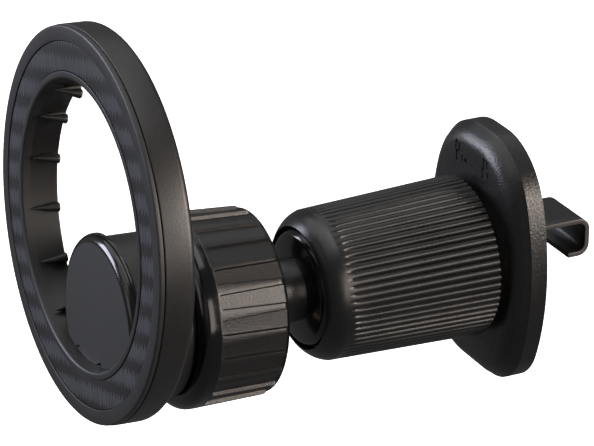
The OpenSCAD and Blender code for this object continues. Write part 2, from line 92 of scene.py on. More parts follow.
# Ring head, along the head's axis from the ball's centre
FACE_Y = -21.499
RING_BACK_Y = -15.7
CAP_Y = -19.5
CAP_BACK_Y = -17.7
SHOULDER_Y = -9.1
NUT_FRONT_Y = -8.8
RING_RISE = 15.0
RING_R = 30.19
HOLE_R = 22.1
BACK_HOLE_R = 21.3
BEZEL_R = 30.09
STEP_R = 29.1
FLANGE_T = 0.8
RECESS = 0.7
BEZEL_T = 1.4
PAD_IN_R = 23.2
PAD_OUT_R = 27.75
CAP_R = 13.5
SOCKET_R = 12.8
THREAD_R = 12.0
BALL_R = 8.5
CAVITY_R = 10.0
NECK_R = 5.0
FIN_COUNT = 16
NUT_R = 15.05
NUT_LEN = 14.7
NUT_COLLAR = 3.0
NUT_RIBS = 24
KNOB_RIBS = 64
LEDGE_Y = FACE_Y + BEZEL_T
LEDGE_R = HOLE_R - (HOLE_R - BACK_HOLE_R) * BEZEL_T / (RING_BACK_Y - FACE_Y)
RING = HEAD @ Matrix.Translation((0, 0, RING_RISE * MM))


# ---------------------------------------------------------------- materials

def srgb(hex_colour):
    """Linear RGBA of a colour written as sRGB hex."""
    def linear(v):
        return v / 12.92 if v <= 0.04045 else ((v + 0.055) / 1.055) ** 2.4
    return tuple(linear(int(hex_colour[i:i + 2], 16) / 255) for i in (1, 3, 5)) + (1.0,)


def add_node(tree, kind, feeds=None, **settings):
    """One node with its settings; feeds gives each input a value or another node's output."""
    made = tree.nodes.new(kind)
    for key, value in settings.items():
        setattr(made, key, value)
    for key, value in (feeds or {}).items():
        if isinstance(value, bpy.types.NodeSocket):
            tree.links.new(value, made.inputs[key])
        else:
            made.inputs[key].default_value = value
    return made


def new_material(name, **surface):
    """A material with its own surface shader, and the tree to draw its patterns in."""
    made = bpy.data.materials.new(name)
    made.use_nodes = True
    tree = made.node_tree
    shader = next(n for n in tree.nodes if n.type == "BSDF_PRINCIPLED")
    for key, value in surface.items():
        shader.inputs[key.replace("_", " ")].default_value = value
    return made, tree, shader


def mm_coordinates(tree, place=ROW):
    """Object coordinates in millimetres, in a piece's own place."""
    where = add_node(tree, "ShaderNodeTexCoord")
    turned = add_node(
        tree, "ShaderNodeMapping",
        {"Vector": where.outputs["Object"],
         "Location": place.translation,
         "Rotation": place.to_euler("XYZ"),
         "Scale": (MM, MM, MM)},
        vector_type="TEXTURE")
    return turned.outputs["Vector"]


def noise(tree, at, size_mm, detail=2.0, rough=0.5):
    """Noise with features about size_mm wide."""
    return add_node(
        tree, "ShaderNodeTexNoise",
        {"Vector": at, "Scale": 1 / size_mm, "Detail": detail, "Roughness": rough}).outputs["Fac"]


def spread(tree, value, low, high, start=0.0, end=1.0):
    """A value from start to end, spread from low to high."""
    return add_node(
        tree, "ShaderNodeMapRange",
        {"Value": value, "From Min": start, "From Max": end, "To Min": low, "To Max": high},
    ).outputs["Result"]


def blend_colours(tree, factor, first, second):
    """Mix of two colours by a factor."""
    mix = add_node(tree, "ShaderNodeMix", data_type="RGBA")
    tree.links.new(factor, mix.inputs["Factor"])
    for socket, colour in ((mix.inputs[6], first), (mix.inputs[7], second)):
        if isinstance(colour, bpy.types.NodeSocket):
            tree.links.new(colour, socket)
        else:
            socket.default_value = colour
    return mix.outputs[2]


def bump(tree, shader, height, depth_mm, strength=1.0, under=None):
    """Relief of a given depth on the surface."""
    feeds = {"Height": height, "Distance": depth_mm * MM, "Strength": strength}
    if under is not None:
        feeds["Normal"] = under
    made = add_node(tree, "ShaderNodeBump", feeds)
    tree.links.new(made.outputs["Normal"], shader.inputs["Normal"])
    return made.outputs["Normal"]


def moulded_plastic(name, dark, light, ior, rough, grain_mm, grain_depth_mm, place=ROW):
    """Moulded plastic: the mould's grain, and faint clouds where the melt met the mould."""
    made, tree, shader = new_material(name, IOR=ior)
    at = mm_coordinates(tree, place)
    grain = noise(tree, at, grain_mm, 3.0, 0.6)
    cloud = noise(tree, at, 6.0, 2.0)
    colour = blend_colours(tree, cloud, srgb(dark), srgb(light))
    tree.links.new(colour, shader.inputs["Base Color"])
    both = add_node(tree, "ShaderNodeMath", {0: grain, 1: cloud}, operation="MULTIPLY")
    tree.links.new(
        spread(tree, both.outputs[0], rough[0], rough[1], 0.1, 0.5), shader.inputs["Roughness"])
    bump(tree, shader, grain, grain_depth_mm)
    return made


# ABS, injection moulded, satin grain: a soft even sheen, a little broken up by the grain
SATIN_ABS = moulded_plastic(
    "Satin moulded ABS", "#141415", "#1a1a1b", 1.54, (0.36, 0.46), 0.3, 0.02, HEAD)
# ABS, injection moulded, finer grain on the front rims: flatter and a little lighter
RIM_ABS = moulded_plastic(
    "Fine satin moulded ABS", "#1b1b1d", "#222224", 1.54, (0.42, 0.54), 0.25, 0.015, HEAD)
# ABS, spark-eroded grain: matte with tiny glints
GRAINED_ABS = moulded_plastic(
    "Grained moulded ABS", "#0d0d0e", "#141415", 1.54, (0.28, 0.42), 0.4, 0.06)
# ABS from a polished mould: smooth, with sharp highlights
GLOSS_ABS = moulded_plastic(
    "Polished moulded ABS", "#060607", "#0a0a0b", 1.54, (0.12, 0.2), 0.6, 0.003)
# ABS inside the knob, from a plain mould: dull
INNER_ABS = moulded_plastic(
    "Plain moulded ABS", "#19191a", "#202021", 1.54, (0.45, 0.6), 0.4, 0.015)
# ABS of the knob: satin ribs
KNOB_ABS = moulded_plastic(
    "Satin ribbed ABS", "#0d0d0e", "#131314", 1.56, (0.26, 0.36), 0.3, 0.01)
# Glass-filled nylon, moulded, ball polished by its seats
STUD_NYLON = moulded_plastic(
    "Glass-filled nylon", "#121213", "#151516", 1.6, (0.28, 0.32), 0.3, 0.004)
# Rubber, moulded against a blasted cavity: dull, almost no sheen
PAD_RUBBER = moulded_plastic(
    "Moulded rubber", "#0e0e0e", "#141414", 1.52, (0.62, 0.8), 0.4, 0.03)
# Acetal, moulded: milky and waxy
ACETAL = moulded_plastic("Moulded acetal", "#d6d3c8", "#dedbd2", 1.48, (0.25, 0.35), 0.8, 0.004)


def cap_plastic():
    """ABS cap: blasted flat face and a polished rounded edge."""
    made, tree, shader = new_material("Matte face and polished edge ABS", IOR=1.54)
    at = mm_coordinates(tree, HEAD)
    axis = add_node(tree, "ShaderNodeSeparateXYZ", {"Vector": at})
    flat = add_node(
        tree, "ShaderNodeCombineXYZ", {"X": axis.outputs["X"], "Z": axis.outputs["Z"]})
    radius = add_node(
        tree, "ShaderNodeVectorMath", {0: flat.outputs[0]}, operation="LENGTH").outputs["Value"]
    edge = spread(tree, radius, 0.0, 1.0, CAP_R - 1.5, CAP_R - 1.2)
    grain = noise(tree, at, 0.22, 3.0, 0.6)
    cloud = noise(tree, at, 5.0)
    face = blend_colours(tree, cloud, srgb("#232324"), srgb("#2a2a2b"))
    tree.links.new(
        blend_colours(tree, edge, face, srgb("#121213")), shader.inputs["Base Color"])
    dull = spread(tree, grain, 0.5, 0.62)
    rough = add_node(
        tree, "ShaderNodeMix", {"Factor": edge, 2: dull, 3: 0.16}, data_type="FLOAT")
    tree.links.new(rough.outputs[0], shader.inputs["Roughness"])
    depth = spread(tree, edge, 1.0, 0.1)
    relief = add_node(tree, "ShaderNodeMath", {0: grain, 1: depth}, operation="MULTIPLY")
    bump(tree, shader, relief.outputs[0], 0.012)
    return made


def carbon_pad():
    """Silicone rubber pad embossed as a carbon weave: bands with saw edges, their shine painted
    into the colour as a painted sheen.
    """
    made, tree, shader = new_material("Carbon-weave silicone rubber", IOR=1.43)
    at = mm_coordinates(tree, RING)
    axis = add_node(tree, "ShaderNodeSeparateXYZ", {"Vector": at})
    across, up = axis.outputs["X"], axis.outputs["Z"]
    # uneven saw teeth about 1 mm wide along a band's edge, with finer ones on them
    sway = add_node(
        tree, "ShaderNodeMath", {0: noise(tree, at, 2.2, 1.0), 1: 1.6, 2: across},
        operation="MULTIPLY_ADD")
    teeth = add_node(tree, "ShaderNodeMath", {0: sway.outputs[0], 1: 0.5}, operation="PINGPONG")
    fine = add_node(tree, "ShaderNodeMath", {0: across, 1: 0.19}, operation="PINGPONG")
    shift = add_node(
        tree, "ShaderNodeMath", {0: teeth.outputs[0], 1: 2.2, 2: up}, operation="MULTIPLY_ADD")
    shift = add_node(
        tree, "ShaderNodeMath", {0: fine.outputs[0], 1: 1.6, 2: shift.outputs[0]},
        operation="MULTIPLY_ADD")
    # bands 4.5 mm apart
    band = add_node(
        tree, "ShaderNodeMath", {0: shift.outputs[0], 1: 2.25}, operation="PINGPONG")
    # painted sheen: the light bands stand in for the weave's shine, painted lighter into the base
    # colour
    light = spread(tree, band.outputs[0], 0.0, 1.0, 0.95, 1.2)
    # fibres 0.4 mm wide, upright
    stretched = add_node(
        tree, "ShaderNodeVectorMath", {0: at, 1: (2.5, 0.2, 0.12)}, operation="MULTIPLY")
    fibres = noise(tree, stretched.outputs[0], 1.0, 2.0, 0.6)
    # painted sheen of the bands, times the fibres' own texture, mixes the dark rubber towards a
    # lighter grey
    painted_sheen_and_fibres = add_node(
        tree, "ShaderNodeMath", {0: light, 1: spread(tree, fibres, 0.4, 1.2, 0.25, 0.75)},
        operation="MULTIPLY")
    tree.links.new(
        blend_colours(tree, painted_sheen_and_fibres.outputs[0], srgb("#0c0c0e"), srgb("#4c4c53")),
        shader.inputs["Base Color"])
    tree.links.new(spread(tree, painted_sheen_and_fibres.outputs[0], 0.62, 0.34), shader.inputs["Roughness"])
    bump(tree, shader, painted_sheen_and_fibres.outputs[0], 0.02)
    return made


def coated_steel():
    """Spring steel strip, bent and black coated, a little rubbed along the edges."""
    made, tree, shader = new_material("Black coated spring steel", IOR=1.5)
    at = mm_coordinates(tree)
    axis = add_node(tree, "ShaderNodeSeparateXYZ", {"Vector": at})
    side = add_node(tree, "ShaderNodeMath", {0: axis.outputs["X"]}, operation="ABSOLUTE")
    speckle = noise(tree, at, 0.5, 4.0, 0.7)
    ragged = add_node(
        tree, "ShaderNodeMath", {0: speckle, 1: 0.35, 2: side.outputs[0]}, operation="MULTIPLY_ADD")
    worn = spread(tree, ragged.outputs[0], 0.0, 1.0, HOOK_HIGH.x + 0.02, HOOK_HIGH.x + 0.17)
    black = blend_colours(tree, speckle, srgb("#0f0f10"), srgb("#171719"))
    tree.links.new(
        blend_colours(tree, worn, black, srgb("#4c4b4b")), shader.inputs["Base Color"])
    tree.links.new(spread(tree, worn, 0.0, 0.4), shader.inputs["Metallic"])
    tree.links.new(spread(tree, speckle, 0.3, 0.5), shader.inputs["Roughness"])
    bump(tree, shader, speckle, 0.015)
    return made


def turned_metal(name, dark, light, rough, ridge_mm, place=ROW):
    """Machined or plated metal with fine marks round its axis."""
    made, tree, shader = new_material(name, Metallic=1.0)
    at = mm_coordinates(tree, place)
    marks = add_node(
        tree, "ShaderNodeVectorMath",
        {0: at, 1: (0.15 / ridge_mm, 1 / ridge_mm, 0.15 / ridge_mm)}, operation="MULTIPLY")
    lines = noise(tree, marks.outputs[0], 1.0, 3.0, 0.6)
    cloud = noise(tree, at, 3.0)
    tree.links.new(
        blend_colours(tree, cloud, srgb(dark), srgb(light)), shader.inputs["Base Color"])
    tree.links.new(spread(tree, lines, rough[0], rough[1]), shader.inputs["Roughness"])
    bump(tree, shader, lines, 0.006)
    return made


def nut_plastic():
    """ABS nut: polished collar, and behind it a spark-eroded grain that scatters the light."""
    made, tree, shader = new_material("Grained ABS with polished collar", IOR=1.54)
    at = mm_coordinates(tree, HEAD)
    axis = add_node(tree, "ShaderNodeSeparateXYZ", {"Vector": at})
    collar = spread(
        tree, axis.outputs["Y"], 1.0, 0.0,
        NUT_FRONT_Y + NUT_COLLAR - 0.1, NUT_FRONT_Y + NUT_COLLAR + 0.1)
    grain = noise(tree, at, 0.25, 3.0, 0.6)
    behind = blend_colours(tree, grain, srgb("#0c0c0d"), srgb("#161617"))
    tree.links.new(
        blend_colours(tree, collar, behind, srgb("#080809")), shader.inputs["Base Color"])
    rough = add_node(
        tree, "ShaderNodeMix", {"Factor": collar, 2: spread(tree, grain, 0.3, 0.44), 3: 0.14},
        data_type="FLOAT")
    tree.links.new(rough.outputs[0], shader.inputs["Roughness"])
    relief = add_node(
        tree, "ShaderNodeMath", {0: grain, 1: spread(tree, collar, 1.0, 0.05)},
        operation="MULTIPLY")
    bump(tree, shader, relief.outputs[0], 0.05)
    return made


CAP_ABS = cap_plastic()
NUT_ABS = nut_plastic()
CARBON_PAD = carbon_pad()
COATED_STEEL = coated_steel()
# Steel, zinc plated: bright and slightly mottled
ZINC_PLATED_STEEL = turned_metal("Zinc-plated steel", "#a9abae", "#bfc1c4", (0.25, 0.4), 0.2)
# Neodymium magnet, nickel plated: bright and warm
NICKEL_PLATED = turned_metal(
    "Nickel-plated magnet", "#b8b3a8", "#c9c4ba", (0.15, 0.28), 0.4, HEAD)
# Brass, turned: yellow with tool marks round its axis
TURNED_BRASS = turned_metal("Turned brass", "#b98f45", "#cfa75c", (0.2, 0.36), 0.25)
# Zinc alloy, die cast: grey and dull
DIE_CAST_ZINC = turned_metal("Die-cast zinc", "#8f9194", "#a2a4a6", (0.4, 0.55), 0.6)


# ---------------------------------------------------------------- shaping tools

def outline(points, closed=True):
    """A wire through (x, y, z) points; a fourth number says how far its corner is rounded."""
    bm = bmesh.new()
    corners = [bm.verts.new(p[:3]) for p in points]
    pairs = list(zip(corners, corners[1:]))
    if closed:
        pairs.append((corners[-1], corners[0]))
    for a, b in pairs:
        bm.edges.new((a, b))
    return bm, corners


def round_corners(bm, corners, points, segments):
    """Rounds the corners of a wire that ask for it."""
    for corner, p in zip(corners, points):
        if len(p) > 3 and p[3] > 0:
            bmesh.ops.bevel(
                bm, geom=[corner], offset=p[3], offset_type="OFFSET", segments=segments,
                profile=0.5, affect="VERTICES", material=-1)


def turned(profile, steps=128, closed=True, segments=6):
    """A solid turned about Y from (radius, y) points, each with an optional corner rounding."""
    points = [(p[0], p[1], 0.0) + tuple(p[2:]) for p in profile]
    bm, corners = outline(points, closed)
    round_corners(bm, corners, points, segments)
    bmesh.ops.spin(
        bm, geom=bm.verts[:] + bm.edges[:], cent=(0, 0, 0), axis=(0, 1, 0),
        angle=FULL_TURN, steps=steps, use_merge=True)
    return bm


def arc(centre, radius, start, end, steps):
    """Points of an arc in a profile; angles in degrees."""
    return [
        (centre[0] + radius * math.cos(math.radians(start + (end - start) * i / steps)),
         centre[1] + radius * math.sin(math.radians(start + (end - start) * i / steps)))
        for i in range(steps + 1)]


def mesh_of(name, bm, place, sharp):
    """Cleans a shape, puts it in its place in metres and makes its mesh."""
    bmesh.ops.remove_doubles(bm, verts=bm.verts, dist=0.002)
    bmesh.ops.recalc_face_normals(bm, faces=bm.faces)
    bm.transform(place @ Matrix.Scale(MM, 4))
    mesh = bpy.data.meshes.new(name)
    bm.to_mesh(mesh)
    bm.free()
    for face in mesh.polygons:
        face.use_smooth = True
    mesh.set_sharp_from_angle(angle=math.radians(sharp))
    return mesh


def piece(name, bm, body, material, stands_for=(), place=ROW, sharp=32):
    """Makes a finished piece of a shape, on its body and in its material slot."""
    made = bpy.data.objects.new(name, mesh_of(name, bm, place, sharp))
    bpy.context.scene.collection.objects.link(made)
    made.data.materials.append(material)
    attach(made, body)
    if stands_for:
        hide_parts(*stands_for)
    return made


def cut(made, tools, operation, place=ROW, sharp=32):
    """Cuts a piece with other shapes, and keeps the result as its mesh."""
    for tool in tools:
        helper = bpy.data.objects.new("cutter", mesh_of("cutter", tool, place, sharp))
        bpy.context.scene.collection.objects.link(helper)
        step = made.modifiers.new("cut", "BOOLEAN")
        step.object, step.operation, step.solver = helper, operation, "EXACT"
        bpy.context.view_layer.update()
        graph = bpy.context.evaluated_depsgraph_get()
        mesh = bpy.data.meshes.new_from_object(made.evaluated_get(graph))
        made.modifiers.clear()
        made.data = mesh
        bpy.data.objects.remove(helper)
    for face in made.data.polygons:
        face.use_smooth = True
    made.data.set_sharp_from_angle(angle=math.radians(sharp))


def block(low, high):
    """A box between two corners."""
    bm = bmesh.new()
    bmesh.ops.create_cube(bm, size=1.0)
    size = [h - l for l, h in zip(low, high)]
    middle = [(h + l) / 2 for l, h in zip(low, high)]
    bmesh.ops.scale(bm, vec=size, verts=bm.verts)
    bmesh.ops.translate(bm, vec=middle, verts=bm.verts)
    return bm


def round_bar(radius, y0, y1, segments=128, end_radius=None):
    """A cylinder along Y, or a cone when its end has another radius."""
    bm = bmesh.new()
    bmesh.ops.create_cone(
        bm, cap_ends=True, segments=segments, radius1=radius, radius2=end_radius or radius,
        depth=y1 - y0)
    bmesh.ops.rotate(bm, cent=(0, 0, 0), matrix=Z_TO_Y, verts=bm.verts)
    bmesh.ops.translate(bm, vec=(0, (y0 + y1) / 2, 0), verts=bm.verts)
    return bm


# ---------------------------------------------------------------- ring head

def ring_shell():
    """Rear half of the ring, with a wall round the bezel's step and a channel for magnets."""
    lip_y = FACE_Y + 0.9
    channel_in_r, channel_out_r, channel_y = 22.7, 28.8, RING_BACK_Y - 1.0
    return turned([
        (RING_R, lip_y, 0.2),
        (RING_R, RING_BACK_Y, 1.1),
        (BACK_HOLE_R, RING_BACK_Y, 0.35),
        (LEDGE_R, LEDGE_Y),
        (channel_in_r, LEDGE_Y),
        (channel_in_r, channel_y),
        (channel_out_r, channel_y),
        (channel_out_r, LEDGE_Y),
        (STEP_R + 0.05, LEDGE_Y),
        (STEP_R + 0.05, lip_y, 0.08),
    ], steps=224)


def cone_on_y(start_r, end_r, length, end_round):
    """A cone along Y from the origin, with a rounded end."""
    bm = bmesh.new()
    bmesh.ops.create_cone(
        bm, cap_ends=True, segments=32, radius1=start_r, radius2=end_r, depth=length)
    rim = [e for e in bm.edges if all(v.co.z > 0 for v in e.verts)]
    bmesh.ops.bevel(
        bm, geom=rim, offset=end_round, offset_type="OFFSET", segments=4, profile=0.5,
        affect="EDGES", material=-1)
    bmesh.ops.translate(bm, vec=(0, 0, length / 2), verts=bm.verts)
    bmesh.ops.rotate(bm, cent=(0, 0, 0), matrix=Z_TO_Y, verts=bm.verts)
    return bm


def ring_fins(end_r, lean, end_round):
    """A cone on the inner wall for each fin, leaning inwards by so much at the back."""
    front = LEDGE_Y + 0.01
    length = RING_BACK_Y - 0.25 - front
    bm = cone_on_y(0.1, end_r, math.hypot(length, lean), end_round)
    tilt = Matrix.Rotation(-math.atan2(lean, length), 3, "X")
    bmesh.ops.rotate(bm, cent=(0, 0, 0), matrix=tilt, verts=bm.verts)
    bmesh.ops.translate(bm, vec=(0, front, BACK_HOLE_R), verts=bm.verts)
    bmesh.ops.spin(
        bm, geom=bm.verts[:] + bm.edges[:] + bm.faces[:], cent=(0, 0, 0), axis=(0, 1, 0),
        angle=FULL_TURN * (FIN_COUNT - 1) / FIN_COUNT, steps=FIN_COUNT - 1, use_duplicate=True)
    return bm


def socket_barrel():
    """Barrel that holds the ball, with its thread's core and the seat for the cap."""
    seat_r, seat_y = 10.3, -15.7
    well_r, well_y = 8.3, -11.8
    return turned(
        [(0.0, -CAVITY_R)]
        + arc((0, 0), CAVITY_R, -84, -3.44, 16)
        + [(THREAD_R - 0.05, -0.6, 0.2),
           (THREAD_R - 0.05, SHOULDER_Y),
           (SOCKET_R, SHOULDER_Y, 0.35),
           (SOCKET_R, CAP_BACK_Y),
           (seat_r, CAP_BACK_Y),
           (seat_r, seat_y),
           (well_r, seat_y),
           (well_r, well_y),
           (0.0, well_y)],
        steps=144, closed=False)


def bezel():
    """Front face of the ring, with the recess for the grip pad."""
    return turned([
        (LEDGE_R, LEDGE_Y),
        (HOLE_R, FACE_Y, 0.35),
        (PAD_IN_R, FACE_Y, 0.1),
        (PAD_IN_R, FACE_Y + RECESS),
        (PAD_OUT_R, FACE_Y + RECESS),
        (PAD_OUT_R, FACE_Y, 0.1),
        (BEZEL_R, FACE_Y, 0.35),
        (BEZEL_R, FACE_Y + FLANGE_T, 0.1),
        (STEP_R, FACE_Y + FLANGE_T),
        (STEP_R, LEDGE_Y),
    ], steps=224)


def grip_pad():
    """Pad let into the bezel, a little below its rims."""
    gap, below = 0.06, 0.16
    return turned([
        (PAD_IN_R + gap, FACE_Y + below, 0.12),
        (PAD_OUT_R - gap, FACE_Y + below, 0.12),
        (PAD_OUT_R - gap, FACE_Y + RECESS),
        (PAD_IN_R + gap, FACE_Y + RECESS),
    ], steps=224)


def socket_cap():
    """Round cover with a full rounded edge and a spigot that sits in the barrel."""
    spigot_r, spigot_end_y = 10.25, CAP_BACK_Y + 1.8
    return turned([
        (0.0, CAP_Y),
        (CAP_R, CAP_Y, 1.5),
        (CAP_R, CAP_BACK_Y, 0.1),
        (spigot_r, CAP_BACK_Y),
        (spigot_r, spigot_end_y),
        (0.0, spigot_end_y),
    ], steps=192, closed=False, segments=12)


def nut_radius(y):
    """The nut's radius over its ribs, at y from its front."""
    return NUT_R - 0.4 * max(0.0, y - NUT_COLLAR) / (NUT_LEN - NUT_COLLAR)


def nearest_row(rows, y):
    """The row whose place along the axis, its first number, is nearest to y."""
    return min((abs(row[0] - y), row) for row in rows)[1]


def clamp_nut():
    """Nut with a polished collar, tapering ribs, sunk panels and a lip that passes the neck."""
    depth, lip_y = 0.6, 12.35
    # places along the nut, with the share of the panel's depth and of the rib's fall
    rows = [
        (3.0, 0.0, 0.0), (3.04, 0.15, 0.0), (3.14, 0.85, 0.0), (3.2, 1.0, 0.0), (3.35, 1.0, 0.0),
        (3.5, 1.0, 0.0), (3.7, 1.0, 0.0), (4.5, 1.0, 0.0), (6.0, 1.0, 0.0), (8.0, 1.0, 0.0),
        (10.0, 1.0, 0.0), (12.0, 1.0, 0.0), (13.2, 1.0, 0.0), (13.6, 1.0, 0.0),
        (13.8, 1.0, 0.06), (14.0, 1.0, 0.28), (14.15, 1.0, 0.6), (14.25, 1.0, 1.0)]
    profile = (
        [(THREAD_R, 0.0), (NUT_R, 0.0, 1.95)]
        + [(nut_radius(y), y) for y, _, _ in rows]
        + [(nut_radius(NUT_LEN) - depth, NUT_LEN, 0.35), (BALL_R + 0.2, NUT_LEN, 0.2),
           (9.45, lip_y), (THREAD_R, lip_y)])
    columns = 10
    bm = turned(profile, steps=NUT_RIBS * columns, segments=8)
    bmesh.ops.remove_doubles(bm, verts=bm.verts, dist=0.002)
    half_pitch = math.pi / NUT_RIBS
    for v in bm.verts:
        radius = math.hypot(v.co.x, v.co.z)
        if radius < 14.2 or v.co.y < 2.99 or v.co.y > 14.27:
            continue
        y, panel, fall = nearest_row(rows, v.co.y)
        width = 0.9 - 0.375 * (y - NUT_COLLAR) / (NUT_LEN - NUT_COLLAR)
        # rounded corners where a panel meets the collar
        corner = max(0.0, 1 - (y - 3.1) / 0.6)
        if corner < 1:
            width += 0.5 * (1 - math.sqrt(1 - corner ** 2))
        else:
            width += 0.5
        index = round(math.atan2(v.co.x, v.co.z) / (2 * half_pitch) * columns)
        turn, column = divmod(index + columns // 2, columns)
        column -= columns // 2
        shift = (0.0, width * 0.55, width - 0.1, width + 0.06, width + 0.3, half_pitch * NUT_R)
        sunk = (fall, fall, max(fall, 0.08 * panel), max(fall, 0.95 * panel), panel, panel)
        offset = math.copysign(shift[abs(column)], column)
        angle = turn * 2 * half_pitch + offset / NUT_R
        radius -= depth * sunk[abs(column)]
        v.co.x, v.co.z = radius * math.sin(angle), radius * math.cos(angle)
    start = Matrix.Rotation(half_pitch + math.radians(3), 3, "Y")
    bmesh.ops.rotate(bm, cent=(0, 0, 0), matrix=start, verts=bm.verts)
    bmesh.ops.translate(bm, vec=(0, NUT_FRONT_Y, 0), verts=bm.verts)
    return bm


# ---------------------------------------------------------------- stud and knob

def ball_stud():
    """Ball and neck in one moulding, with a spigot behind and a bore for its screw."""
    meet = math.sqrt(BALL_R ** 2 - NECK_R ** 2)
    front = KNOB_FRONT_Y - BALL_Y
    spigot_r, spigot_len, bore_r = 3.5, 4.5, 1.75
    around = arc((0, 0), BALL_R, -90, math.degrees(math.atan2(meet, NECK_R)), 40)
    profile = [(max(r, 0.0), y) for r, y in around[:-1]]
    profile += [
        (NECK_R, meet, 1.0), (NECK_R, front), (spigot_r, front),
        (spigot_r, front + spigot_len, 0.2), (bore_r, front + spigot_len), (bore_r, 4.0),
        (0.0, 3.2)]
    bm = turned(profile, steps=96, closed=False)
    bmesh.ops.translate(bm, vec=(0, BALL_Y, 0), verts=bm.verts)
    return bm


def stud_flange():
    """Domed disc with a bevelled rim, in the knob's mouth."""
    y, bore_r, rim_r, thick = KNOB_FRONT_Y, 3.5, 9.3, 2.5
    return turned([
        (bore_r, y), (NECK_R + 0.3, y), (7.15, y + 0.17, 1.2), (8.6, y + 0.5, 0.25),
        (rim_r, y + 1.2, 0.25), (rim_r, y + thick), (bore_r, y + thick)], steps=144)


def rib_height(y):
    """Height of the knob's ribs over the grooves, at y from the knob's front."""
    rise = min(1.0, (y - 3.7) / 2.6)
    return 0.3 * rise * rise * (3 - 2 * rise) + 0.25 * max(0.0, y - 4.9) / 24.7


def knob_shell():
    """Sleeve with a full rounded front and 64 ribs that rise out of it."""
    front, length = KNOB_FRONT_Y, KNOB_REAR_Y - KNOB_FRONT_Y
    mouth_r, front_r, rear_r, round_r, rib_start = 9.7, 12.1, 12.85, 5.0, 3.7
    mouth_angle = math.degrees(math.acos((mouth_r - front_r + round_r) / round_r))
    lip_angle = math.degrees(math.asin((round_r - rib_start) / round_r))
    lip = arc((front_r - round_r, front + round_r), round_r, -mouth_angle, -lip_angle, 12)
    bore_r, mouth_depth = 10.4, 2.5
    rows = (
        3.85, 4.0, 4.2, 4.4, 4.65, 4.9, 5.4, 6.0, 7.0, 8.5, 10.5, 13.0, 16.0, 19.0, 22.0, 25.0,
        27.5)
    lip_r = lip[-1][0]
    slope = (rear_r - lip_r) / (length - rib_start)
    profile = (
        [(mouth_r, front + mouth_depth), lip[0] + (0.15,)] + lip[1:]
        + [(lip_r + slope * (y - rib_start), front + y) for y in rows]
        + [(rear_r, front + length), (bore_r, front + length, 0.2),
           (bore_r, front + mouth_depth)])
    columns = 8
    bm = turned(profile, steps=KNOB_RIBS * columns, segments=4)
    # how much of a rib's height is lost from its crest to the groove
    loss = (0.0, 0.03, 0.13, 0.42, 1.0)
    for v in bm.verts:
        radius = math.hypot(v.co.x, v.co.z)
        y = v.co.y - front
        if radius < 11.5 or y < rib_start + 0.01:
            continue
        index = round(math.atan2(v.co.x, v.co.z) / FULL_TURN * KNOB_RIBS * columns)
        column = abs((index + columns // 2) % columns - columns // 2)
        scale = (radius - rib_height(y) * loss[column]) / radius
        v.co.x *= scale
        v.co.z *= scale
    return bm


# ---------------------------------------------------------------- vent plate and hook

def plate_face(y):
    """The plate's outline as one face at y, looking along +Y."""
    width, top, bottom = 30.8, 20.9, 19.9
    side_r, top_r, bottom_r, side_z = 38.3, 12.1, 10.0, 0.15
    side_x = width / 2 - side_r

    def corner(r, z):
        return (side_x + math.sqrt((side_r - r) ** 2 - (z - side_z) ** 2), z)

    upper, lower = corner(top_r, top - top_r), corner(bottom_r, bottom_r - bottom)
    to_upper = math.degrees(math.atan2(upper[1] - side_z, upper[0] - side_x))
    to_lower = math.degrees(math.atan2(lower[1] - side_z, lower[0] - side_x))
    half = (
        arc(upper, top_r, 90, to_upper, 14)
        + arc((side_x, side_z), side_r, to_upper, to_lower, 16)[1:]
        + arc(lower, bottom_r, to_lower, -90, 14)[1:])
    around = half + [(-x, z) for x, z in reversed(half)]
    bm = bmesh.new()
    bm.faces.new([bm.verts.new((x, y, z)) for x, z in around])
    bmesh.ops.recalc_face_normals(bm, faces=bm.faces)
    return bm


def raise_face(bm, face, y):
    """Extrudes a face straight along Y by a distance, and gives the new face."""
    made = bmesh.ops.extrude_face_region(bm, geom=[face])
    bmesh.ops.translate(
        bm, vec=(0, y, 0), verts=[g for g in made["geom"] if isinstance(g, bmesh.types.BMVert)])
    return next(g for g in made["geom"] if isinstance(g, bmesh.types.BMFace))


def step_in(bm, face, inwards, y):
    """Insets a face and moves the new one along Y."""
    bmesh.ops.inset_region(
        bm, faces=[face], thickness=inwards, use_even_offset=True, use_boundary=True)
    bmesh.ops.translate(bm, vec=(0, y, 0), verts=face.verts[:])
    return face


def vent_plate():
    """Plate with a straight wall and a soft bevel all round its front."""
    bm = plate_face(PLATE_BACK_Y)
    bm.faces.ensure_lookup_table()
    wall = 2.8
    bevel = (
        (0.06, -0.05), (0.4, -0.53), (0.44, -0.6), (0.5, -0.44), (0.5, -0.38), (0.6, -0.26),
        (0.6, -0.14))
    front = raise_face(bm, bm.faces[0], -wall)
    for inwards, y in bevel:
        front = step_in(bm, front, inwards, y)
    return bm


def lock_marks():
    """Open padlock, an arrow to it and a shut padlock, as bars to engrave."""
    y0, y1, z, line = PLATE_FRONT_Y - 1.0, PLATE_FRONT_Y + 0.25, 15.9, 0.3
    half, tall = 1.05, 1.7
    bow_half, bow_tall = 0.7, 1.6
    bars = []
    for x, bow in ((-4.1, -4.7), (4.1, 4.1)):
        spans = [
            (x - half, x + half, z - tall, z - tall + line), (x - half, x + half, z - line, z),
            (x - half, x - half + line, z - tall, z), (x + half - line, x + half, z - tall, z),
            (bow - bow_half, bow - bow_half + line, z - 0.05, z + bow_tall),
            (bow + bow_half - line, bow + bow_half, z - 0.05, z + bow_tall),
            (bow - bow_half, bow + bow_half, z + bow_tall - line, z + bow_tall)]
        bars += [block((x0, y0, z0), (x1, y1, z1)) for x0, x1, z0, z1 in spans]
    bars.append(block((-1.8, y0, z - 1.0), (2.0, y1, z - 0.76)))
    tip, corners = outline([(-1.8, y0, z - 0.38), (-2.6, y0, z - 0.88), (-1.8, y0, z - 1.38)])
    tip.faces.new(corners)
    tip.faces.ensure_lookup_table()
    raise_face(tip, tip.faces[0], y1 - y0)
    bars.append(tip)
    return bars


